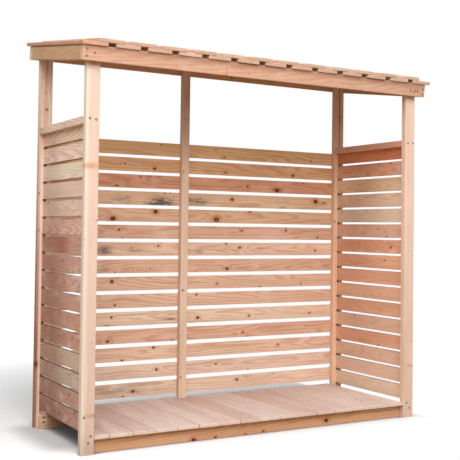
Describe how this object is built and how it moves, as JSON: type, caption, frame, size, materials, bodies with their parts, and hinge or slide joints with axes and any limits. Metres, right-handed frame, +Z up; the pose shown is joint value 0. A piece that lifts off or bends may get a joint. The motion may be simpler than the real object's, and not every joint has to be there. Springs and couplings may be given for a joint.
{
  "type": "log store",
  "caption": "Open-fronted timber log store with slatted sides and back, a plank deck and a board-on-board roof falling to the front.",
  "frame": {"origin": "middle of the ground under the store's whole outline, roof included", "axes": "+X to the right seen from the open front, +Y from the open front to the back, +Z up"},
  "size_m": [2.182, 0.8816, 2.1339],
  "materials": {
    "post_timber": "planed, unpainted softwood",
    "rail_timber": "planed, unpainted softwood",
    "slat_timber": "planed, unpainted softwood",
    "bearer_timber": "planed, unpainted softwood",
    "deck_timber": "planed, unpainted softwood",
    "roof_frame_timber": "planed, unpainted softwood",
    "roof_board_timber": "planed, unpainted softwood"
  },
  "bodies": {
    "root": {"front_left_post": "post_timber", "front_right_post": "post_timber", "back_left_post": "post_timber", "back_right_post": "post_timber", "back_middle_post": "post_timber", "left_side_rail": "rail_timber", "right_side_rail": "rail_timber", "left_side_slats": "slat_timber", "right_side_slats": "slat_timber", "front_bearer": "bearer_timber", "back_bearer": "bearer_timber", "deck_boards": "deck_timber", "front_roof_beam": "roof_frame_timber", "back_roof_beam": "roof_frame_timber", "left_roof_beam": "roof_frame_timber", "right_roof_beam": "roof_frame_timber", "roof_lower_boards": "roof_board_timber", "roof_upper_boards": "roof_board_timber", "back_slat_01": "slat_timber", "back_slat_02": "slat_timber", "back_slat_03": "slat_timber", "back_slat_04": "slat_timber", "back_slat_05": "slat_timber", "back_slat_06": "slat_timber", "back_slat_07": "slat_timber", "back_slat_08": "slat_timber", "back_slat_09": "slat_timber", "back_slat_10": "slat_timber", "back_slat_11": "slat_timber", "back_slat_12": "slat_timber", "back_slat_13": "slat_timber", "back_slat_14": "slat_timber", "back_slat_15": "slat_timber"}
  },
  "joints": []
}
